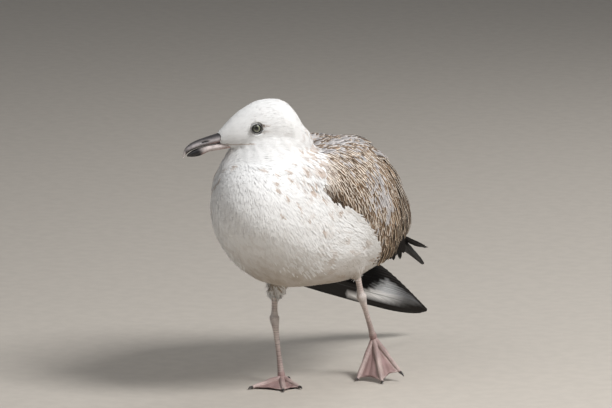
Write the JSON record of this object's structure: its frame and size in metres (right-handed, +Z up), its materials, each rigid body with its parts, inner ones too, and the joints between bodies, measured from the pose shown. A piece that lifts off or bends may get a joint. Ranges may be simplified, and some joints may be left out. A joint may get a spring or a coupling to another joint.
{
  "type": "young large gull, life-size museum model",
  "caption": "Life-size still model of a young large gull that walks with its head turned and one wing drooped.",
  "frame": {"origin": "on the floor, under the middle of the whole bird's box", "axes": "+Z up; the bird walks towards -Y, its left side is +X, and the wing tips point to +Y"},
  "size_m": [0.174, 0.4712, 0.3228],
  "materials": {
    "white_feathers": "soft overlapping body feathers, white with buff-brown spots on the hind neck",
    "wing_feathers": "grey-brown coverts and scapulars with dark shafts and pale edges",
    "flight_feathers": "stiff blackish-brown flight feathers, silvery inner webs below",
    "tail_feathers": "white tail with a broad blackish band",
    "bill_horn": "satin horn, dark above, pinkish at the base below, black near the tip",
    "eye": "wet gloss, pale olive-yellow iris with a black pupil",
    "leg_skin": "scaly pinkish-grey skin, smooth folded webs",
    "claw_horn": "dark satin horn"
  },
  "bodies": {
    "root": {"head": "white_feathers", "neck": "white_feathers", "trunk": "white_feathers", "thigh_left": "white_feathers", "thigh_right": "white_feathers", "wing_left": "wing_feathers", "wing_right": "wing_feathers", "primaries_left": "flight_feathers", "primaries_right": "flight_feathers", "tail": "tail_feathers", "bill_upper": "bill_horn", "bill_lower": "bill_horn", "eye_left": "eye", "eye_right": "eye", "shank_left": "leg_skin", "shank_right": "leg_skin", "foot_left": "leg_skin", "foot_right": "leg_skin", "claw_inner_left": "claw_horn", "claw_middle_left": "claw_horn", "claw_outer_left": "claw_horn", "claw_hind_left": "claw_horn", "claw_inner_right": "claw_horn", "claw_middle_right": "claw_horn", "claw_outer_right": "claw_horn", "claw_hind_right": "claw_horn"}
  },
  "joints": []
}
